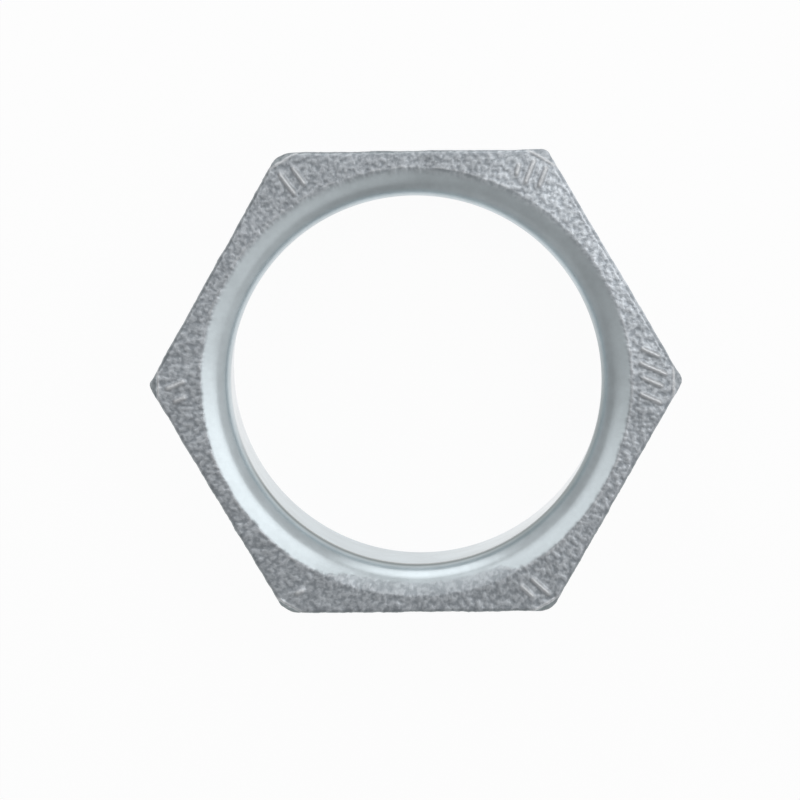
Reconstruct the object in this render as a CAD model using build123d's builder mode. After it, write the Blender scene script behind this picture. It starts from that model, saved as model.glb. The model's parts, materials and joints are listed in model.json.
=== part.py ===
from build123d import *
import os
from math import atan, ceil, cos, degrees, radians, sin, tan

os.makedirs("parts", exist_ok=True)

# A chase nipple of trade size 2-1/2: one iron casting, machined and threaded.
# Millimetres. The axis is Z. Z = 0 is the bearing face under the hexagon head.
# The head rises to +Z and the threaded barrel hangs to -Z. Two corners lie on X.

# Thread: straight pipe thread 2-1/2 - 8, right hand
thread_major_diameter = 72.16
threads_per_inch = 8
thread_angle = 60.0
thread_flat = 0.4  # width of the flat on each crest and at each root
runout_turns = 0.6  # the groove climbs out of the metal over this much of a turn
runout_gap = 0.4  # plain metal between the end of the groove and the collar

# Barrel
barrel_length = 18.0
tip_chamfer = 2.2
collar_length = 2.5
collar_step = 0.45  # radial, the cast collar stands this far above the crests
collar_flare = 0.5  # the collar widens by this much where it meets the head

# Head
knockout_clearance = 2.02  # radial, from the crests to the knockout in the box
knockout_cover = 0.8  # radial, how far the middle of a flat reaches past the knockout
head_height = 9.0
corner_round = 2.5
corner_cut = 2.1  # radial, taken off each sharp corner by the turned chamfer
corner_cut_angle = 45.0  # from the face
face_edge_round = 0.7
seat_edge_chamfer = 0.4

# Throat and bore
root_wall = 1.4  # metal between the thread root and the bore at the tip
bore_draft = 2.2  # degrees, the cored bore opens towards the tip
throat_step = 0.5  # radial, from the throat out to the cored bore
throat_land = 2.2
lip_flare_width = 2.5  # radial, the plain cone between the face and the rounding
lip_flare_angle = 19.0  # of that cone, from the face
lip_round_width = 2.3  # radial, from the throat to the cone
lip_round_depth = 2.2
lip_round_angle = 30.0  # slope of the rounding where it leaves the cone, from the face
mouth_chamfer = 0.3

# Thread sizes that follow
pitch = 25.4 / threads_per_inch
flank_slope = tan(radians(thread_angle / 2))
thread_depth = (pitch / 2 - thread_flat) / flank_slope
crest_radius = thread_major_diameter / 2
root_radius = crest_radius - thread_depth

# The groove's section reaches a little past the crests, so that it cuts through.
section_over = 0.25 * thread_depth
section_height = thread_depth + section_over
section_root = thread_flat / 2
section_mouth = section_root + section_height * flank_slope

# The groove keeps its depth for a whole number of turns, from below the tip to
# the run-out, so both stretches start on the same side of the barrel.
runout_height = runout_turns * pitch
groove_top = -collar_length - runout_gap - runout_height
groove_turns = ceil((groove_top + barrel_length) / pitch + 0.5)
groove_bottom = groove_top - groove_turns * pitch
runout_angle = atan((thread_depth + section_over / 2) / runout_height)

# Collar and head sizes that follow
collar_radius = crest_radius + collar_step
flat_distance = crest_radius + knockout_clearance + knockout_cover
corner_radius = flat_distance / cos(radians(30))
face_radius = corner_radius - corner_cut
cut_width = 2 * corner_cut
cut_depth = cut_width * tan(radians(corner_cut_angle))

# Bore sizes that follow, from the face down to the tip and back up to the throat
flare_slope = tan(radians(lip_flare_angle))
flare_bottom = head_height - lip_flare_width * flare_slope
lip_bottom = flare_bottom - lip_round_depth
land_bottom = lip_bottom - throat_land
step_bottom = land_bottom - throat_step
bore_length = step_bottom + barrel_length
bore_tip_radius = root_radius - root_wall
bore_top_radius = bore_tip_radius - bore_length * tan(radians(bore_draft))
throat_radius = bore_top_radius - throat_step
flare_radius = throat_radius + lip_round_width
lip_radius = flare_radius + lip_flare_width
round_start = (-cos(radians(lip_round_angle)), -sin(radians(lip_round_angle)))

with BuildPart() as chase_nipple:
    # Barrel blank, with its lead-in chamfer
    with BuildSketch(Plane.XY):
        Circle(crest_radius)
    extrude(amount=-barrel_length)
    tip_edge = chase_nipple.edges().sort_by(Axis.Z)[0]
    chamfer(tip_edge, length=tip_chamfer)

    # Thread groove at full depth
    with BuildLine():
        Helix(pitch, groove_turns * pitch, root_radius, center=(0, 0, groove_bottom))
    with BuildSketch(Plane.XZ):
        with BuildLine():
            Polyline(
                (root_radius, groove_bottom - section_root),
                (root_radius + section_height, groove_bottom - section_mouth),
                (root_radius + section_height, groove_bottom + section_mouth),
                (root_radius, groove_bottom + section_root),
                close=True,
            )
        make_face()
    sweep(is_frenet=True, mode=Mode.SUBTRACT)

    # Run-out: the same section climbs a conical helix until it leaves the metal
    with BuildLine():
        Helix(
            pitch / cos(runout_angle),
            runout_height,
            root_radius,
            center=(0, 0, groove_top),
            cone_angle=degrees(runout_angle),
        )
    with BuildSketch(Plane.XZ):
        with BuildLine():
            Polyline(
                (root_radius, groove_top - section_root),
                (root_radius + section_height, groove_top - section_mouth),
                (root_radius + section_height, groove_top + section_mouth),
                (root_radius, groove_top + section_root),
                close=True,
            )
        make_face()
    sweep(is_frenet=True, mode=Mode.SUBTRACT)

    # Plain cast collar that sits in the knockout, with a cone down to the crests
    with BuildSketch(Plane.XZ):
        with BuildLine():
            Polyline(
                (0, 0),
                (collar_radius + collar_flare, 0),
                (collar_radius, -collar_flare),
                (collar_radius, -collar_length + collar_step),
                (crest_radius, -collar_length),
                (0, -collar_length),
                close=True,
            )
        make_face()
    revolve(axis=Axis.Z)

    # Hexagon head with rounded corners, a rounded face edge and a chamfered seat edge
    with BuildSketch(Plane.XY):
        RegularPolygon(corner_radius, 6)
        fillet(vertices(), corner_round)
    extrude(amount=head_height)
    face = chase_nipple.faces().sort_by(Axis.Z)[-1]
    fillet(face.outer_wire().edges(), face_edge_round)
    seat = chase_nipple.faces().filter_by(Plane.XY).sort_by(Axis.Z)[1]
    chamfer(seat.outer_wire().edges(), seat_edge_chamfer)

    # Turned chamfer across the six corners
    with BuildSketch(Plane.XZ):
        with BuildLine():
            Polyline(
                (face_radius, head_height),
                (face_radius + cut_width, head_height - cut_depth),
                (face_radius + cut_width, head_height + corner_cut),
                (face_radius, head_height + corner_cut),
                close=True,
            )
        make_face()
    revolve(axis=Axis.Z, mode=Mode.SUBTRACT)

    # Flared and rounded lip, throat land, step and drafted bore, cut as one section
    with BuildSketch(Plane.XZ):
        with BuildLine():
            Polyline((0, head_height), (lip_radius, head_height), (flare_radius, flare_bottom))
            TangentArc((flare_radius, flare_bottom), (throat_radius, lip_bottom), tangent=round_start)
            Polyline(
                (throat_radius, lip_bottom),
                (throat_radius, land_bottom),
                (bore_top_radius, step_bottom),
                (bore_tip_radius, mouth_chamfer - barrel_length),
                (bore_tip_radius + mouth_chamfer, -barrel_length),
                (0, -barrel_length),
                (0, head_height),
            )
        make_face()
    revolve(axis=Axis.Z, mode=Mode.SUBTRACT)

chase_nipple.part.label = "chase_nipple"
export_step(chase_nipple.part, "parts/chase_nipple.step")
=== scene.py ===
import json
from math import cos, pi, radians, sin, tan

import bpy
from bpy.props import FloatProperty, FloatVectorProperty, PointerProperty
from mathutils import Matrix, Vector


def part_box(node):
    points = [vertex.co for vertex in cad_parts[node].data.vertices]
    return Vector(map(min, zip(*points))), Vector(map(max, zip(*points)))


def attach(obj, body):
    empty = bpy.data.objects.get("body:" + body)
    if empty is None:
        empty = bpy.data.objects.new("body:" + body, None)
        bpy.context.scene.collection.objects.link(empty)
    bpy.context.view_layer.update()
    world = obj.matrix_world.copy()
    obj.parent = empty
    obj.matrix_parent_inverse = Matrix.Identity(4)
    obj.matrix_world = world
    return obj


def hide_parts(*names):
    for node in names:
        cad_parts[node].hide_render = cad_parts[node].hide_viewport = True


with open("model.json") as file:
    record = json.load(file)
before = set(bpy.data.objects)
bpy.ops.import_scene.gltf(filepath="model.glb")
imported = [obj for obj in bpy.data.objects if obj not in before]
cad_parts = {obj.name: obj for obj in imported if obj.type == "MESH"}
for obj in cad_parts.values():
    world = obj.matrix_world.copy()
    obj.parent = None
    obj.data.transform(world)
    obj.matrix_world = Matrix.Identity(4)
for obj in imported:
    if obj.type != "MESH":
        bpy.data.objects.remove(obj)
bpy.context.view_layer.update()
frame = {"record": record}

bl_info = {
    "name": "Chase nipple",
    "version": (1, 0, 0),
    "blender": (4, 5, 0),
    "location": "3D View > Sidebar > Chase nipple",
    "description": "Makes a zinc plated conduit chase nipple on its threaded barrel, and a plain studio for it",
    "category": "Add Mesh",
}

NODE = "chase_nipple"
PIECE = "cast_chase_nipple"
MM = 0.001
TURN = 2 * pi
SIXTH = pi / 3
LOWEST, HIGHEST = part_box(NODE)
MOUNTS = {mount["name"]: mount["dims"].get("r_mm", 0) * MM for mount in frame["record"]["mounts"]}


# ---------------------------------------------------------------- sizes and colours


def length(name, description, default):
    """A size in metres that a user may change."""
    return FloatProperty(
        name=name, description=description, default=default, min=0, subtype="DISTANCE", unit="LENGTH", precision=5
    )


def coordinate(name, description, default):
    """A place in metres along one axis, which may be negative."""
    return FloatProperty(name=name, description=description, default=default, unit="LENGTH", precision=5)


def share(name, description, default):
    return FloatProperty(name=name, description=description, default=default, min=0, max=1, subtype="FACTOR")


def angle(name, description, default):
    return FloatProperty(name=name, description=description, default=radians(default), subtype="ANGLE", unit="ROTATION")


def radiance(name, description, default):
    return FloatProperty(name=name, description=description, default=default, min=0, unit="POWER")


def colour(name, description, default):
    return FloatVectorProperty(
        name=name, description=description, default=default, size=3, min=0, max=1, subtype="COLOR"
    )


class NippleSizes(bpy.types.PropertyGroup):
    """Sizes of the casting and of what is machined on it."""

    head_height: length("Head height", "From the bearing face to the face of the head", HIGHEST.z)
    flat_distance: length("Flat distance", "From the axis to each flat of the hexagon", HIGHEST.y)
    corner_round: length("Corner round", "Radius of the hexagon's corners", 2.5 * MM)
    face_radius: length("Face radius", "Where the chamfer of the corners starts on the face", 43.4 * MM)
    face_edge_round: length("Face edge round", "Radius between the face and the flats", 0.7 * MM)
    seat_edge_chamfer: length("Seat edge chamfer", "Chamfer round the bearing face", 0.4 * MM)
    side_draft: length("Side draft", "How far the flats draw in from the face down to the bearing face", 0.4 * MM)
    throat_radius: length("Throat radius", "Radius of the wire throat", MOUNTS["throat"])
    flare_width: length("Flare width", "Width of the lip's plain cone, next to the face", 2.5 * MM)
    flare_angle: angle("Flare angle", "Slope of that cone, from the face", 19.0)
    round_width: length("Round width", "Width of the lip's rounding, from the throat to the cone", 2.3 * MM)
    round_depth: length("Round depth", "Depth of that rounding", 2.2 * MM)
    round_angle: angle("Round angle", "Slope of the rounding where it leaves the cone, from the face", 30.0)
    turn_in_angle: angle("Turn-in angle", "Slope at which the rounding turns over into the throat", 47.0)
    throat_land: length("Throat land", "Height of the straight throat", 2.2 * MM)
    throat_step: length("Throat step", "Radial step from the throat to the bore", 0.5 * MM)
    bore_draft: angle("Bore draft", "The cored bore opens towards the tip by this angle", 2.2)
    mouth_chamfer: length("Mouth chamfer", "Chamfer of the bore at the tip", 0.3 * MM)
    barrel_length: length("Barrel length", "From the bearing face to the tip", -LOWEST.z)
    collar_radius: length("Collar radius", "Radius of the plain collar under the head", MOUNTS["collar"])
    collar_length: length("Collar length", "From the bearing face to the crests of the thread", 2.5 * MM)
    collar_flare: length("Collar flare", "The collar widens by this much under the head", 0.5 * MM)
    crest_radius: length("Crest radius", "Radius over the crests of the thread", MOUNTS["thread"])
    pitch: length("Pitch", "Of the straight pipe thread", 3.175 * MM)
    thread_flat: length("Thread flat", "Width of the flat on each crest and at each root", 0.4 * MM)
    runout_turns: share("Run-out turns", "Share of a turn in which the groove leaves the metal", 0.6)
    runout_gap: length("Run-out gap", "Plain metal between the groove's end and the collar", 0.4 * MM)
    tip_chamfer: length("Tip chamfer", "Lead-in chamfer at the tip", 2.2 * MM)


class SkinSizes(bpy.types.PropertyGroup):
    """Sizes of the sand-cast skin on the head."""

    grain_size: length("Grain size", "Width of one grain of the cast skin", 0.9 * MM)
    grain_height: length("Grain height", "Height of the cast grain", 0.085 * MM)
    sway_size: length("Sway size", "Width of the skin's slow waves", 4.5 * MM)
    sway_height: length("Sway height", "Height of the skin's slow waves", 0.11 * MM)
    border_width: length("Border width", "Width in which the skin fades out towards the machined lip", 0.35 * MM)
    border_wander: length("Border wander", "How far that border wanders in and out", 0.3 * MM)
    uncut_width: length("Uncut width", "How far the skin reaches down the flare where it was not machined", 2.1 * MM)
    bar_width: length("Bar width", "Half the width of the plain raised bars on the face", 0.62 * MM)
    bar_height: length("Bar height", "Height of the bars", 0.3 * MM)
    burr_width: length("Burr width", "Half the width of the burrs on the face's borders", 0.3 * MM)
    burr_height: length("Burr height", "Height of the burrs", 0.15 * MM)


class FinishColours(bpy.types.PropertyGroup):
    """Colours and gloss of the zinc plate."""

    skin_colour: colour("Skin colour", "Zinc on the tops of the cast grain", (0.54, 0.572, 0.605))
    pit_colour: colour("Pit colour", "Zinc in the hollows of the grain", (0.338, 0.367, 0.397))
    # Painted light: the skin is made paler on the side towards the key lamp.
    painted_light_share: share("Pale share", "How much paler the skin is where the plate is thickest", 0.34)
    worn_colour: colour("Worn colour", "Zinc rubbed bright on the bars and burrs", (0.74, 0.755, 0.77))
    lip_colour: colour("Lip colour", "Zinc on the smooth lip, bore and thread", (0.605, 0.668, 0.698))
    # Painted shade: a dark colour laid on the throat's land, on the rounding next to it and along the outer edge, where
    # shade falls.
    painted_shade_colour: colour("Dull colour", "Thin zinc at the throat and along the outer edge", (0.19, 0.222, 0.225))
    # Painted reflection: a pale colour laid on smooth zinc where it is seen along its surface.
    painted_reflection_colour: colour("Grazing colour", "Smooth zinc seen along its surface", (0.95, 0.96, 0.97))
    skin_roughness: share("Skin roughness", "Roughness of the cast skin", 0.42)
    lip_roughness: share("Lip roughness", "Roughness of the smooth zinc", 0.32)


class StudioSettings(bpy.types.PropertyGroup):
    """Floor, light and camera."""

    floor_colour: colour("Floor colour", "Plain pale floor", (0.9, 0.9, 0.9))
    floor_white: share("Floor white", "How much of the floor shows as plain white", 0.95)
    floor_width: length("Floor width", "Width of the round floor", 12.0)
    key_strength: radiance("Key strength", "Radiance of the large soft lamp at the right", 1.27)
    side_strength: radiance("Side strength", "Radiance of the soft lamp at the upper left", 1.02)
    low_strength: radiance("Low strength", "Radiance of the low lamp behind the nipple", 1.1)
    fill_strength: radiance("Fill strength", "Radiance of the narrow lamp in front of the nipple", 0.55)
    roof_strength: radiance("Roof strength", "Radiance of the studio overhead", 0.47)
    wall_strength: radiance("Wall strength", "Radiance of the studio's walls", 0.34)
    window_strength: radiance("Window strength", "Radiance of the wide window in the right wall", 0.36)
    door_strength: radiance("Door strength", "Radiance of the open door at the back left", 0.126)
    screen_strength: radiance("Screen strength", "Radiance of the pale screen at the front left", 0.16)
    camera_tilt: angle("Camera tilt", "From straight above", 6.48)
    camera_side: angle("Camera side", "Direction in which the camera is tilted away, from X towards Y", 70.8)
    camera_roll: angle("Camera roll", "Turn of the picture", -0.82)
    camera_distance: length("Camera distance", "From the face of the head", 0.6)
    camera_lens: FloatProperty(
        name="Camera lens", description="Focal length, on a 36 mm sensor", default=160.9, min=1, unit="CAMERA"
    )
    aim_x: coordinate("Aim X", "Where the camera looks, along X", -2.57 * MM)
    aim_y: coordinate("Aim Y", "Where the camera looks, along Y", -2.76 * MM)


# ---------------------------------------------------------------- node trees


class Term:
    """A socket of a node tree. Sums, products and comparisons of terms add Math nodes."""

    def __init__(self, net, socket):
        self.net = net
        self.socket = socket

    def out(self, name):
        """Another output of the same node."""
        return Term(self.net, self.socket.node.outputs[name])

    def __add__(self, other):
        return self.net.math("ADD", self, other)

    def __radd__(self, other):
        return self.net.math("ADD", other, self)

    def __sub__(self, other):
        return self.net.math("SUBTRACT", self, other)

    def __rsub__(self, other):
        return self.net.math("SUBTRACT", other, self)

    def __mul__(self, other):
        return self.net.math("MULTIPLY", self, other)

    def __rmul__(self, other):
        return self.net.math("MULTIPLY", other, self)

    def __truediv__(self, other):
        return self.net.math("DIVIDE", self, other)

    def __rtruediv__(self, other):
        return self.net.math("DIVIDE", other, self)

    def __gt__(self, other):
        return self.net.math("GREATER_THAN", self, other)

    def __lt__(self, other):
        return self.net.math("LESS_THAN", self, other)

    def __neg__(self):
        return self.net.math("MULTIPLY", self, -1.0)


class Net:
    """Writes nodes into a tree."""

    def __init__(self, tree):
        self.tree = tree
        tree.nodes.clear()

    def node(self, kind, settings=None, values=None, output=0):
        """Adds a node: its settings first, then the values or links of its sockets."""
        made = self.tree.nodes.new(kind)
        for name, value in (settings or {}).items():
            setattr(made, name, value)
        for name, value in (values or {}).items():
            self.feed(made.inputs[name], value)
        return Term(self, made.outputs[output]) if made.outputs else made

    def feed(self, socket, value):
        """Links a term, or each of a list of them, to the socket, or sets the socket to a plain value."""
        if isinstance(value, Term):
            self.tree.links.new(value.socket, socket)
        elif isinstance(value, list):
            for term in value:
                self.tree.links.new(term.socket, socket)
        else:
            socket.default_value = value

    def math(self, operation, *terms):
        return self.node("ShaderNodeMath", {"operation": operation}, dict(enumerate(terms)))

    def least(self, first, second):
        return self.math("MINIMUM", first, second)

    def most(self, first, second):
        return self.math("MAXIMUM", first, second)

    def root(self, value):
        return self.math("SQRT", value)

    def vector(self, x, y, z):
        return self.node("ShaderNodeCombineXYZ", None, {"X": x, "Y": y, "Z": z})

    def split(self, vector):
        parts = self.node("ShaderNodeSeparateXYZ", None, {"Vector": vector})
        return parts, parts.out("Y"), parts.out("Z")

    def scale(self, vector, factor):
        return self.node("ShaderNodeVectorMath", {"operation": "SCALE"}, {0: vector, "Scale": factor})

    def between(self, value, start, end, low=0.0, high=1.0, kind="LINEAR"):
        """The value carried from one range to another, and kept inside it."""
        return self.node(
            "ShaderNodeMapRange",
            {"interpolation_type": kind},
            {"Value": value, "From Min": start, "From Max": end, "To Min": low, "To Max": high},
        )

    def mix(self, first, second, part):
        """The first number where part is 0, the second where it is 1."""
        return first + (second - first) * part

    def blend(self, first, second, part):
        """The first colour where part is 0, the second where it is 1."""
        mixed = self.node("ShaderNodeMix", {"data_type": "RGBA"})
        inputs = mixed.socket.node.inputs
        for socket, value in ((inputs[0], part), (inputs[6], first), (inputs[7], second)):
            self.feed(socket, value)
        return Term(self, mixed.socket.node.outputs[2])

    def noise(self, place, size, detail=2.0, rough=0.5, signed=False):
        """Noise with features about as wide as size, from 0 to 1, or round 0 where it is signed."""
        return self.node(
            "ShaderNodeTexNoise",
            {"normalize": not signed},
            {"Vector": place, "Scale": 1 / size, "Detail": detail, "Roughness": rough},
        )


def rgba(shade):
    return (*shade, 1.0)


def toward(x, y, side):
    """How far a point lies towards a side, which is an angle from X towards Y."""
    return x * cos(side) + y * sin(side)


# ---------------------------------------------------------------- the body


COLUMNS = 1440  # round the face, where the grain is finest
EDGE_ROWS = 6
FACE_ROWS = 34
FLARE_ROWS = 10
ROUND_ROWS = 13
TURN_IN_ROWS = 4  # the last of the rounding's rows
BORE_ROWS = 11
SIDE_ROWS = 16
SEAT_ROWS = 16
COLLAR_ROWS = 5
PITCH_ROWS = 6  # each side of the crest, the flanks and the root
THREAD_TURNS = 5
CREST_SHARP = radians(28)  # an edge of the thread or bore that turns by more than this is sharp
WELD = 0.001 * MM
EASE = 1.2 * MM  # how far the edge between flare and rounding is smoothed to each side
SEAT_MARGIN = 1.4 * MM  # the outermost ring of the bearing face lies this far past the face's

# What each corner's radius has beyond the plain one, in mm, from the corner on X towards Y and on round
CORNERS = (-1.3, -1.0, 1.5, -1.5, 1.3, 0.5, -1.3)


def size_inputs(tree, *groups):
    """A named input on the tree for each size in the property groups."""
    sockets = {}
    for group in groups:
        for key in group.__annotations__:
            rna = group.bl_rna.properties[key]
            socket = tree.interface.new_socket(rna.name, in_out="INPUT", socket_type="NodeSocketFloat")
            socket.description = rna.description
            socket.default_value = rna.default
            sockets[key] = socket
    return sockets


class Sizes:
    """The tree's size inputs, as terms with the names of the properties, and the sizes of the lip that follow."""

    def __init__(self, net, sockets):
        given = net.node("NodeGroupInput")
        for key, socket in sockets.items():
            setattr(self, key, given.out(socket.name))
        self.flare_radius = self.throat_radius + self.round_width
        self.lip_radius = self.flare_radius + self.flare_width
        self.flare_bottom = self.head_height - self.flare_width * net.math("TANGENT", self.flare_angle)
        self.lip_bottom = self.flare_bottom - self.round_depth


def hexagon(net, size, turn, inset):
    """Distance from the axis to the rounded hexagon, drawn in by inset. No two corners are quite alike."""
    half = SIXTH / 2
    off_corner = net.math("PINGPONG", turn, half)
    corner_round = size.corner_round
    for number, extra in enumerate(CORNERS):
        corner_round = corner_round + extra * MM * net.math("COMPARE", turn, number * SIXTH, half)
    centre = (size.flat_distance - corner_round) / cos(half)
    arc = corner_round - inset
    aside = centre * net.math("SINE", off_corner)
    reach = net.root(net.most(arc * arc - aside * aside, 0.0))
    corner = centre * net.math("COSINE", off_corner) + reach
    flat = (size.flat_distance - inset) / net.math("COSINE", half - off_corner)
    tangent = net.math("ARCTAN2", arc * sin(half), centre + arc * cos(half))
    return net.mix(corner, flat, off_corner > tangent)


def lip_round(net, size, part, turn_in):
    """Radius and height on the lip's rounding: part runs down its long arc, then turn_in over its tight one,
    which ends upright at the throat."""
    bend = net.math("ARCTAN2", size.round_depth, size.round_width) - size.round_angle
    span = net.root(size.round_width * size.round_width + size.round_depth * size.round_depth)
    reach = span / (2 * net.math("SINE", bend))

    def along(arc, start, slope):
        inward = net.math("SINE", slope) - net.math("SINE", start)
        down = net.math("COSINE", start) - net.math("COSINE", slope)
        return arc * inward, arc * down

    long_inward = along(reach, size.round_angle, size.turn_in_angle)[0]
    tight = (size.round_width - long_inward) / (1 - net.math("SINE", size.turn_in_angle))
    inward, down = along(reach, size.round_angle, net.mix(size.round_angle, size.turn_in_angle, part))
    more_inward, more_down = along(tight, size.turn_in_angle, net.mix(size.turn_in_angle, pi / 2, turn_in))
    return size.flare_radius - inward - more_inward, size.flare_bottom - down - more_down


def eased(net, size, radius, height):
    """The height with the edge between the flare and the rounding smoothed away."""
    near = net.most(EASE - net.math("ABSOLUTE", radius - size.flare_radius), 0.0)
    turned = net.math("TANGENT", size.round_angle) - net.math("TANGENT", size.flare_angle)
    return height - turned * near * near / (4 * EASE)


def straight_runs(net, row, stations):
    """Radius and height at a row, on straight runs between stations (row, radius, height)."""
    radius, height = stations[0][1:]
    for (start, r_start, z_start), (end, r_end, z_end) in zip(stations, stations[1:]):
        part = net.between(row, start, end)
        radius = radius + (r_end - r_start) * part
        height = height + (z_end - z_start) * part
    return radius, height


def band(net, columns, rows, place, pair_first=False, pair_last=False):
    """A grid once round the axis. The place function turns an angle and a row into a radius and a height.
    Where the next band has half as many columns, that border's columns close up in pairs."""
    grid = net.node("GeometryNodeMeshGrid", None, {"Vertices X": columns + 1, "Vertices Y": rows + 1}, "Mesh")
    index = net.node("GeometryNodeInputIndex")
    column = net.math("FLOOR", (index + 0.5) / (rows + 1))
    row = index - column * (rows + 1)
    if pair_first or pair_last:
        at_border = (row < 0.5) if pair_first else (row > rows - 0.5)
        column = column - net.math("MODULO", column, 2.0) * at_border
    turn = column * (TURN / columns)
    radius, height = place(turn, row)
    position = net.vector(radius * net.math("COSINE", turn), radius * net.math("SINE", turn), height)
    return net.node("GeometryNodeSetPosition", None, {"Geometry": grid, "Position": position})


def head_bands(net, size):
    """The face with its rounded edge and the chamfer of its corners, the flats and the bearing face."""

    def drop(turn):
        """From the face down to the top of the flats, lower where the chamfer crosses a corner."""
        cut = hexagon(net, size, turn, 0.0) - size.face_radius
        return net.most(size.face_edge_round, cut)

    def edge(turn, row):
        rise = 1 - row / EDGE_ROWS
        depth = drop(turn) * (1 - net.math("COSINE", rise * (pi / 2)))
        left = net.most(size.face_edge_round - depth, 0.0)
        full = size.face_edge_round * size.face_edge_round
        inset = size.face_edge_round - net.root(net.most(full - left * left, 0.0))
        radius = net.least(hexagon(net, size, turn, inset), size.face_radius + depth)
        return radius, size.head_height - depth

    def face(turn, row):
        border = hexagon(net, size, turn, size.face_edge_round)
        ring = size.face_radius + (size.lip_radius - size.face_radius) * row / FACE_ROWS
        return net.least(ring, border), size.head_height

    def seat(turn, row):
        border = hexagon(net, size, turn, size.seat_edge_chamfer + size.side_draft)
        inner = size.collar_radius + size.collar_flare
        ring = inner + (size.face_radius + SEAT_MARGIN - inner) * row / SEAT_ROWS
        return net.least(ring, border), 0.0

    def side(turn, row):
        chamfer = net.between(row, 0.0, 1.0)
        climb = net.between(row, 1.0, SIDE_ROWS)
        inset = size.seat_edge_chamfer * (1 - chamfer) + size.side_draft * (1 - climb)
        top = size.head_height - drop(turn)
        height = size.seat_edge_chamfer * chamfer + (top - size.seat_edge_chamfer) * climb
        return hexagon(net, size, turn, inset), height

    return [
        band(net, COLUMNS, EDGE_ROWS, edge, pair_first=True),
        band(net, COLUMNS, FACE_ROWS, face),
        band(net, COLUMNS // 2, SEAT_ROWS, seat, pair_first=True),
        band(net, COLUMNS // 2, SIDE_ROWS, side),
    ]


def bore_bands(net, size):
    """The lip, the throat, the cored bore and the end face."""

    def flare(turn, row):
        part = row / FLARE_ROWS
        radius = net.mix(size.lip_radius, size.flare_radius, part)
        return radius, eased(net, size, radius, net.mix(size.head_height, size.flare_bottom, part))

    def rounding(turn, row):
        part = net.between(row, 0.0, ROUND_ROWS - TURN_IN_ROWS)
        radius, height = lip_round(net, size, part, net.between(row, ROUND_ROWS - TURN_IN_ROWS, ROUND_ROWS))
        return radius, eased(net, size, radius, height)

    def bore(turn, row):
        land_bottom = size.lip_bottom - size.throat_land
        step_bottom = land_bottom - size.throat_step
        top = size.throat_radius + size.throat_step
        tip = top + (step_bottom + size.barrel_length) * net.math("TANGENT", size.bore_draft)
        mouth = -size.barrel_length + size.mouth_chamfer
        outer = size.crest_radius - size.tip_chamfer
        stations = (
            (0, size.throat_radius, lip_round(net, size, 1.0, 1.0)[1]),
            (2, size.throat_radius, land_bottom),
            (3, top, step_bottom),
            (9, tip, mouth),
            (10, tip + size.mouth_chamfer, -size.barrel_length),
            (BORE_ROWS, outer, -size.barrel_length),
        )
        return straight_runs(net, row, stations)

    return [
        band(net, COLUMNS, FLARE_ROWS, flare, pair_last=True),
        band(net, COLUMNS // 2, ROUND_ROWS, rounding, pair_last=True),
        band(net, COLUMNS // 4, BORE_ROWS, bore),
    ]


def barrel_bands(net, size):
    """The thread with its run-out and lead-in chamfer, and the plain collar above it."""
    flank = tan(radians(30))
    half_flat = size.thread_flat / 2
    full_depth = (size.pitch / 2 - size.thread_flat) / flank
    groove_top = -size.collar_length - size.runout_gap - size.runout_turns * size.pitch
    cone = size.crest_radius - size.tip_chamfer + size.barrel_length  # radius less height on the lead-in chamfer

    def thread(turn, row):
        """The rows climb with the helix, up to the top of the groove, where it starts to leave the metal."""
        groove = net.math("FLOOR", (row + 0.5) / PITCH_ROWS)
        place = row - groove * PITCH_ROWS
        climbed = groove - THREAD_TURNS + turn / TURN
        centre = groove_top + climbed * size.pitch
        depth = full_depth * net.between(climbed, 0.0, size.runout_turns, 1.0, 0.0)
        root = size.crest_radius - depth
        wide = depth * flank

        # One vertex on each flank lies where the lead-in chamfer meets it, or as near as the flank allows.
        meet = cone + centre - root + half_flat / flank
        near, far = half_flat + wide * 0.15, half_flat + wide * 0.85
        low = net.most(net.least(meet / (1 / flank + 1), far), near)
        high = net.most(net.least(meet / (1 / flank - 1), far), near)
        offsets = (-(half_flat + wide), -low, -half_flat, half_flat, high, half_flat + wide)
        offset = offsets[0]
        for number, (before, after) in enumerate(zip(offsets, offsets[1:])):
            offset = offset + (after - before) * (place > number + 0.5)
        climb = net.most(net.math("ABSOLUTE", offset) - half_flat, 0.0)
        height = net.most(net.least(centre + offset, -size.collar_length), -size.barrel_length)
        radius = net.least(root + climb / flank, size.crest_radius)
        height = net.mix(height, -size.collar_length, row > PITCH_ROWS * (THREAD_TURNS + 1) - 0.5)
        radius = net.mix(radius, size.crest_radius, height > -size.collar_length - WELD)
        return net.least(radius, cone + height), height

    def collar(turn, row):
        stations = (
            (0, size.crest_radius, -size.collar_length),
            (1, size.collar_radius, -size.collar_length + (size.collar_radius - size.crest_radius)),
            (4, size.collar_radius, -size.collar_flare),
            (COLLAR_ROWS, size.collar_radius + size.collar_flare, 0.0),
        )
        return straight_runs(net, row, stations)

    return [
        band(net, COLUMNS // 4, PITCH_ROWS * (THREAD_TURNS + 1), thread),
        band(net, COLUMNS // 4, COLLAR_ROWS, collar),
    ]


# ---------------------------------------------------------------- the cast skin


ATTRIBUTES = ("cast", "grain", "worn", "dull")  # what the finish reads from the mesh

# The flare is not machined on this side, where the cut ran out of the casting.
UNCUT_SIDE = radians(272)
UNCUT_SPAN = radians(30)

# Painted light: the skin is painted palest on this side, towards the key lamp,
LIT_SIDE = radians(38)
LIT_SPAN = radians(42)

# and the painted shade on the lip near the throat is darkest on this one, the lower right.
SHADE_SIDE = radians(330)

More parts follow.
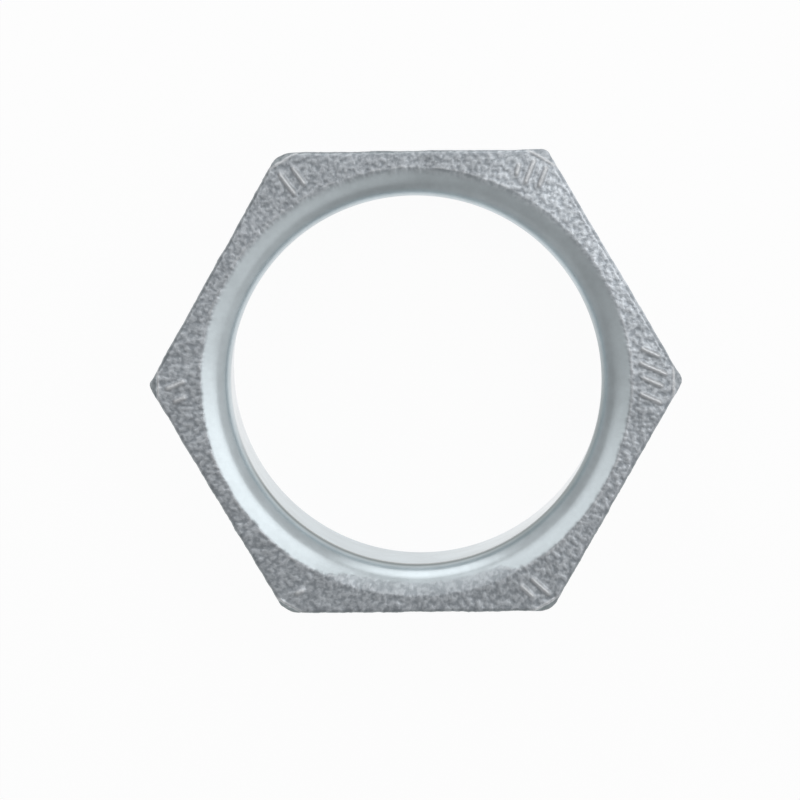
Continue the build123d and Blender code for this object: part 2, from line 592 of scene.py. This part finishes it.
RAGGED_SIZE = 2.6 * MM  # width of the waves in the skin's border
COLLAR_FADE = 0.8 * MM  # height in which the skin fades out at the foot of the collar
BURR_PLACE = 0.2 * MM  # the inner burr lies this far outside the skin's border
BAR_WANDER = 0.12 * MM  # how far the grain moves the borders of the bars
SHADE_LAND = 0.5 * MM  # width of the painted shade ring at the throat
SHADE_TURN_IN = 0.95 * MM  # and of the wider one, on the shaded side
SHADE_EDGE = 3 * MM  # how far down from the face the painted shade on the outer edge reaches
EDGE_MARGIN = 1.2 * MM  # and how far in from the flats it starts

# Plain raised bars on the face, near the corners: where each starts, and its run in x and y, in mm.
BARS = (
    (-22.0, 35.2, 2.2, -3.0),
    (-19.8, 36.2, 1.7, -2.4),
    (17.4, 35.0, 0.4, 1.4),
    (18.9, 33.6, 1.4, 3.4),
    (21.2, 33.0, 1.1, 2.8),
    (38.2, 5.4, 2.6, -1.2),
    (37.9, 3.0, 4.0, -1.8),
    (38.4, 0.5, 2.9, -1.3),
    (38.0, -2.2, 3.0, -1.4),
    (17.6, -34.6, 1.7, -1.6),
    (19.4, -33.4, 2.6, -2.4),
    (-41.6, -0.4, 2.6, 1.1),
    (-40.4, -2.6, 1.5, 0.6),
    (-20.4, -35.4, 0.9, 0.4),
)


def bars(net, size):
    """The centre lines of the plain raised bars on the face."""
    lines = []
    for x, y, run_x, run_y in BARS:
        start = net.vector(x * MM, y * MM, size.head_height)
        run = (run_x * MM, run_y * MM, 0)
        lines.append(
            net.node("GeometryNodeMeshLine", {"mode": "OFFSET"}, {"Count": 2, "Start Location": start, "Offset": run})
        )
    return net.node("GeometryNodeJoinGeometry", None, {"Geometry": lines})


def swell(net, value, middle, half_width):
    """1 where the value is at the middle, falling to 0 at half a width from it."""
    return net.between(net.math("ABSOLUTE", value - middle), half_width, 0.0, kind="SMOOTHSTEP")


def painted_shade_amount(net, size, x, y, z, radius):
    """How much shade is painted into the colour: on the throat's land, on the rounding next to it, and over the outer
    edge, darkest towards -Y and faintest on the lit side.
    """
    past = radius - size.throat_radius
    land = net.between(past, SHADE_LAND, 0.1 * MM, 0.0, 0.5) + (past < 0.08 * MM) * 0.5
    land = land * net.between(-y / radius, 0.2, 0.6)
    turn_in = net.between(past, SHADE_TURN_IN, 0.35 * MM, 0.0, 0.72)
    turn_in = turn_in * net.between(toward(x, y, SHADE_SIDE) / radius, 0.5, 0.95)
    below = size.head_height - z
    edge = net.between(below, 0.02 * MM, 0.25 * MM) * net.between(below, SHADE_EDGE, SHADE_EDGE * 0.6)
    edge = edge * (radius > size.flat_distance - EDGE_MARGIN) * net.between(y / radius, -1.0, -0.2, 0.75, 0.5)
    edge = edge * net.between(toward(x, y, LIT_SIDE) / radius, 0.5, 0.95, 1.0, 0.1)
    return net.most(net.most(land, turn_in), edge)


def cast_skin(net, size, body):
    """Lifts the grain, the bars and the burrs out of the body, and keeps what the finish needs as attributes."""
    place = net.node("GeometryNodeInputPosition")
    x, y, z = net.split(place)
    radius = net.root(x * x + y * y)

    # The skin's border wanders along the lip, reaches down the flare where it is uncut, and is softer towards +Y.
    ragged = net.noise(place, RAGGED_SIZE, 3.0, 0.6) * 2 - 1
    side = toward(x, y, UNCUT_SIDE) / radius + ragged * 0.06
    uncut = net.between(side, cos(UNCUT_SPAN), cos(UNCUT_SPAN * 0.55), kind="SMOOTHSTEP")
    border = size.lip_radius + size.border_wander * ragged - size.uncut_width * uncut
    soft = size.border_width * net.between(y / radius, 0.1, 0.9, 1.0, 4.0)
    on_face = net.between(radius, border - soft, border + soft * 0.3, kind="SMOOTHSTEP")
    on_face = on_face * (1 - uncut * net.between(radius, size.lip_radius + 0.3 * MM, border, 0.0, 0.5))
    cast = on_face * net.between(z, -size.collar_length, -size.collar_length + COLLAR_FADE)

    # Thin burrs: a broken one where the cut meets the cast face, and one at the chamfer of each corner.
    inner = swell(net, radius, border + BURR_PLACE, size.burr_width) * net.between(ragged, -0.1, 0.5, 0.1, 0.7)
    out = radius - size.face_radius
    outer = swell(net, out, -0.1 * MM, size.burr_width) * net.between(ragged, -0.6, 0.2, 0.3, 1.0)
    on_top = net.between(z, size.head_height - 0.5 * MM, size.head_height - 0.2 * MM)
    burr = net.most(inner, outer) * on_top

    grain = net.noise(place, size.grain_size, rough=0.6, signed=True)
    sway = net.noise(place, size.sway_size, signed=True)
    near = net.node(
        "GeometryNodeProximity", {"target_element": "EDGES"}, {0: bars(net, size), "Sample Position": place}, "Distance"
    )
    bar = net.between(near + grain * BAR_WANDER, size.bar_width, size.bar_width * 0.1, kind="SMOOTHSTEP")
    texture = grain * size.grain_height * (1 - bar * 0.6) + sway * size.sway_height
    rise = cast * (texture + bar * size.bar_height) + burr * size.burr_height
    worn = net.most(bar * 0.75, burr)
    # Painted shade, kept as an attribute for the finish.
    dull = painted_shade_amount(net, size, x, y, z, radius)
    for name, value in zip(ATTRIBUTES, (cast, grain, worn, dull)):
        body = net.node(
            "GeometryNodeStoreNamedAttribute",
            {"data_type": "FLOAT", "domain": "POINT"},
            {"Geometry": body, "Name": name, "Value": value},
        )
    shift = net.scale(net.node("GeometryNodeInputNormal"), rise)
    return net.node("GeometryNodeSetPosition", None, {"Geometry": body, "Offset": shift})


def body_tree(material):
    """The node tree that draws the whole casting from its sizes."""
    tree = bpy.data.node_groups.new("cast nipple body", "GeometryNodeTree")
    net = Net(tree)
    tree.interface.new_socket("Geometry", in_out="OUTPUT", socket_type="NodeSocketGeometry")
    sockets = size_inputs(tree, NippleSizes, SkinSizes)
    size = Sizes(net, sockets)
    bands = head_bands(net, size) + bore_bands(net, size) + barrel_bands(net, size)
    body = net.node("GeometryNodeJoinGeometry", None, {"Geometry": bands})
    body = net.node("GeometryNodeMergeByDistance", None, {"Geometry": body, "Distance": WELD})
    body = net.node("GeometryNodeSetShadeSmooth", {"domain": "FACE"}, {"Geometry": body, "Shade Smooth": True})
    turned = net.node("GeometryNodeInputMeshEdgeAngle") > CREST_SHARP
    z = net.split(net.node("GeometryNodeInputPosition"))[2]
    sharp = turned * (z < -0.1 * MM)
    body = net.node(
        "GeometryNodeSetShadeSmooth", {"domain": "EDGE"}, {"Geometry": body, "Selection": sharp, "Shade Smooth": False}
    )
    body = cast_skin(net, size, body)
    body = net.node("GeometryNodeRealizeInstances", None, {"Geometry": body})
    body = net.node("GeometryNodeSetMaterial", None, {"Geometry": body, "Material": material})
    net.node("NodeGroupOutput", None, {"Geometry": body})
    return tree, sockets


# ---------------------------------------------------------------- the finish


FINE_SHARE = 0.55  # the finest grain is this much of the cast grain's width
CLOUD_SIZE = 5 * MM
MOTTLE_SIZE = 1.1 * MM
LIP_BUMP = 0.006 * MM
SKIN_BUMP = 0.048 * MM


def zinc_finish(colours, skin):
    """Zinc plate: bright and smooth on the lip, bore and thread, grainy and grey on the cast skin."""
    material = bpy.data.materials.new("zinc plated iron")
    material.use_nodes = True
    net = Net(material.node_tree)
    place = net.node("ShaderNodeTexCoord", None, None, "Object")
    cast, grain, worn, dull = [
        net.node("ShaderNodeAttribute", {"attribute_name": name}, None, "Fac") for name in ATTRIBUTES
    ]
    fine = net.noise(place, skin.grain_size * FINE_SHARE)
    cloud = net.noise(place, CLOUD_SIZE, 3.0)
    tops = net.between(grain + (fine - 0.5) * 0.5, -0.35, 0.35)
    skin_shade = net.blend(rgba(colours.pit_colour), rgba(colours.skin_colour), tops)
    x, y, z = net.split(place)
    # Painted light: the skin is paler on the side towards the key lamp.
    side = toward(x, y, LIT_SIDE) / net.root(x * x + y * y)
    pale = net.between(side, cos(LIT_SPAN), 1.0, 1.0, 1 + colours.painted_light_share, "SMOOTHSTEP")
    shade = net.blend(rgba(colours.lip_colour), net.scale(skin_shade, pale), cast)
    # Painted shade on the throat, the rounding next to it and the outer edge.
    shade = net.blend(shade, rgba(colours.painted_shade_colour), dull)
    shade = net.blend(shade, rgba(colours.worn_colour), worn)

    # Painted reflection: smooth zinc is painted paler where it is seen along its surface.
    facing = net.node("ShaderNodeLayerWeight", None, {"Blend": 0.5}, "Facing")
    shade = net.blend(shade, rgba(colours.painted_reflection_colour), net.between(facing, 0.885, 0.94, 0.0, 0.7) * (1 - cast))

    mottle = net.noise(place, MOTTLE_SIZE, rough=0.6)
    tone = net.between(cloud + (mottle - 0.5) * 0.5, 0.3, 0.7, 0.94, 1.06)
    rough = net.mix(colours.lip_roughness, colours.skin_roughness, cast) + (cloud - 0.5) * 0.08
    height = (fine - 0.5) * net.mix(LIP_BUMP, SKIN_BUMP, cast)
    bump = net.node("ShaderNodeBump", None, {"Strength": 1.0, "Distance": 1.0, "Height": height})
    surface = net.node(
        "ShaderNodeBsdfPrincipled",
        None,
        {"Base Color": net.scale(shade, tone), "Metallic": 1.0, "Roughness": rough, "Normal": bump},
    )
    net.node("ShaderNodeOutputMaterial", None, {"Surface": surface})
    return material


# ---------------------------------------------------------------- the nipple and its studio


def show(name, data):
    """A new object at the origin, in the scene."""
    thing = bpy.data.objects.new(name, data)
    bpy.context.scene.collection.objects.link(thing)
    return thing


class AddNipple(bpy.types.Operator):
    """Add the chase nipple: hexagon head, rounded throat and threaded barrel"""

    bl_idname = "mesh.chase_nipple_add"
    bl_label = "Add the chase nipple"
    bl_options = {"REGISTER", "UNDO"}

    def execute(self, context):
        scene = context.scene
        material = zinc_finish(scene.nipple_finish, scene.nipple_skin)
        tree, sockets = body_tree(material)
        draft = show("draft", bpy.data.meshes.new("draft"))
        modifier = draft.modifiers.new("body", "NODES")
        modifier.node_group = tree
        for group in (scene.nipple_sizes, scene.nipple_skin):
            for key in type(group).__annotations__:
                modifier[sockets[key].identifier] = getattr(group, key)
        graph = context.evaluated_depsgraph_get()
        mesh = bpy.data.meshes.new_from_object(draft.evaluated_get(graph), depsgraph=graph)
        bpy.data.objects.remove(draft)
        if not mesh.polygons:
            raise RuntimeError("the node tree made no faces")
        mesh.name = PIECE
        nipple = show(PIECE, mesh)
        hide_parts(NODE)
        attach(nipple, "root")
        return {"FINISHED"}


FLOOR_SIDES = 96

# Each lamp's degrees from X towards Y, degrees up, distance, width and height
LAMPS = {
    "key": (25, 64, 0.26, 0.19, 0.11),
    "side": (140, 62, 0.3, 0.23, 0.09),
    "low": (94, 24, 0.35, 0.29, 0.22),
    "fill": (296, 52, 0.35, 0.22, 0.06),
}

# Where the pale openings in the studio's walls stand
WINDOW_SIDE = radians(-8)
DOOR_SIDE = radians(130)
SCREEN_SIDE = radians(235)


def add_floor(studio):
    """A wide round floor under the barrel. It shows white, and keeps the nipple's shadow."""
    reach = studio.floor_width / 2
    turns = [TURN * number / FLOOR_SIDES for number in range(FLOOR_SIDES)]
    ring = [(reach * cos(turn), reach * sin(turn), LOWEST.z) for turn in turns]
    mesh = bpy.data.meshes.new("floor")
    mesh.from_pydata(ring, [], [tuple(range(FLOOR_SIDES))])
    floor = show("floor", mesh)
    material = bpy.data.materials.new("pale floor")
    material.use_nodes = True
    net = Net(material.node_tree)
    path = net.node("ShaderNodeLightPath", None, None, "Is Camera Ray")
    seen = net.most(path, net.most(path.out("Is Glossy Ray"), path.out("Is Transmission Ray")))
    plain = net.node("ShaderNodeBsdfDiffuse", None, {"Color": rgba(studio.floor_colour)})
    white = net.node("ShaderNodeEmission", None, {"Color": (1, 1, 1, 1), "Strength": 1.0})
    surface = net.node("ShaderNodeMixShader", None, {0: seen * studio.floor_white, 1: plain, 2: white})
    net.node("ShaderNodeOutputMaterial", None, {"Surface": surface})
    mesh.materials.append(material)


def add_world(studio):
    """Grey studio walls with a window, a door and a screen, and a paler roof. The camera sees them white."""
    world = bpy.data.worlds.new("studio walls")
    bpy.context.scene.world = world
    world.use_nodes = True
    net = Net(world.node_tree)
    path = net.node("ShaderNodeLightPath", None, None, "Is Camera Ray")
    direction = net.node("ShaderNodeTexCoord", None, None, "Generated")
    x, y, height = net.split(direction)
    room = net.between(height, 0.6, 1.0, studio.wall_strength, studio.roof_strength)
    front = net.between(-y, 0.3, 1.0, 1.0, 0.84)
    back = net.between(y, 0.4, 1.0, 1.0, 1.45)
    window = net.between(toward(x, y, WINDOW_SIDE), 0.2, 0.95, 0.0, studio.window_strength)
    door = net.between(toward(x, y, DOOR_SIDE), 0.5, 1.0, 0.0, studio.door_strength, "SMOOTHSTEP")
    screen = net.between(toward(x, y, SCREEN_SIDE), 0.72, 0.88, 0.0, studio.screen_strength)
    strength = net.mix(room * front * back + window + door + screen, 1.0, path)
    walls = net.node("ShaderNodeBackground", None, {"Color": (1, 1, 1, 1), "Strength": strength})
    net.node("ShaderNodeOutputWorld", None, {"Surface": walls})


def add_lamp(name, side, rise, distance, width, height, strength):
    """A soft lamp that faces the nipple. It stands at side degrees from X towards Y, rise degrees up.
    Its strength is the radiance that a mirror would show."""
    lamp = bpy.data.lights.new(name, "AREA")
    lamp.shape = "RECTANGLE"
    lamp.size = width
    lamp.size_y = height
    lamp.energy = strength * pi * width * height
    body = show(name, lamp)
    side, rise = radians(side), radians(rise)
    away = Vector((cos(rise) * cos(side), cos(rise) * sin(side), sin(rise)))
    body.location = away * distance
    body.rotation_mode = "QUATERNION"
    body.rotation_quaternion = away.to_track_quat("Z", "Y")


def add_camera(studio):
    """The camera looks down on the face, tilted a little."""
    tilt = studio.camera_tilt
    side = studio.camera_side
    away = Vector((sin(tilt) * cos(side), sin(tilt) * sin(side), cos(tilt)))
    up = Vector((0, 1, 0)) - away * away.y
    up.normalize()
    right = up.cross(away)
    turn = Matrix((right, up, away)).transposed().to_4x4()
    roll = Matrix.Rotation(studio.camera_roll, 4, "Z")
    camera = bpy.data.cameras.new("camera")
    camera.sensor_width = 36
    camera.lens = studio.camera_lens
    camera.clip_start = 0.01
    camera.clip_end = 100
    body = show("camera", camera)
    aim = Vector((studio.aim_x, studio.aim_y, HIGHEST.z))
    body.matrix_world = Matrix.Translation(aim + away * studio.camera_distance) @ turn @ roll
    bpy.context.scene.camera = body


class AddStudio(bpy.types.Operator):
    """Add the floor, the soft light and the camera"""

    bl_idname = "scene.nipple_studio_add"
    bl_label = "Add the studio"
    bl_options = {"REGISTER", "UNDO"}

    def execute(self, context):
        studio = context.scene.nipple_studio
        add_floor(studio)
        add_world(studio)
        for name, place in LAMPS.items():
            add_lamp(f"{name} lamp", *place, getattr(studio, f"{name}_strength"))
        add_camera(studio)
        context.scene.view_settings.view_transform = "Standard"
        return {"FINISHED"}


class NipplePanel(bpy.types.Panel):
    """Sizes, finish and studio of the chase nipple"""

    bl_idname = "VIEW3D_PT_chase_nipple"
    bl_label = "Chase nipple"
    bl_space_type = "VIEW_3D"
    bl_region_type = "UI"
    bl_category = "Chase nipple"

    def draw(self, context):
        for title, name, operator in (
            ("Body", "nipple_sizes", None),
            ("Cast skin", "nipple_skin", None),
            ("Finish", "nipple_finish", AddNipple),
            ("Studio", "nipple_studio", AddStudio),
        ):
            box = self.layout.box()
            box.label(text=title)
            group = getattr(context.scene, name)
            for key in type(group).__annotations__:
                box.prop(group, key)
            if operator:
                box.operator(operator.bl_idname)


GROUPS = {
    "nipple_sizes": NippleSizes,
    "nipple_skin": SkinSizes,
    "nipple_finish": FinishColours,
    "nipple_studio": StudioSettings,
}
CLASSES = (*GROUPS.values(), AddNipple, AddStudio, NipplePanel)


def register():
    for item in CLASSES:
        bpy.utils.register_class(item)
    for name, group in GROUPS.items():
        setattr(bpy.types.Scene, name, PointerProperty(type=group))


def unregister():
    for name in GROUPS:
        delattr(bpy.types.Scene, name)
    for item in reversed(CLASSES):
        bpy.utils.unregister_class(item)


def main():
    register()
    bpy.ops.scene.nipple_studio_add()
    bpy.ops.mesh.chase_nipple_add()


if __name__ == "__main__":
    main()
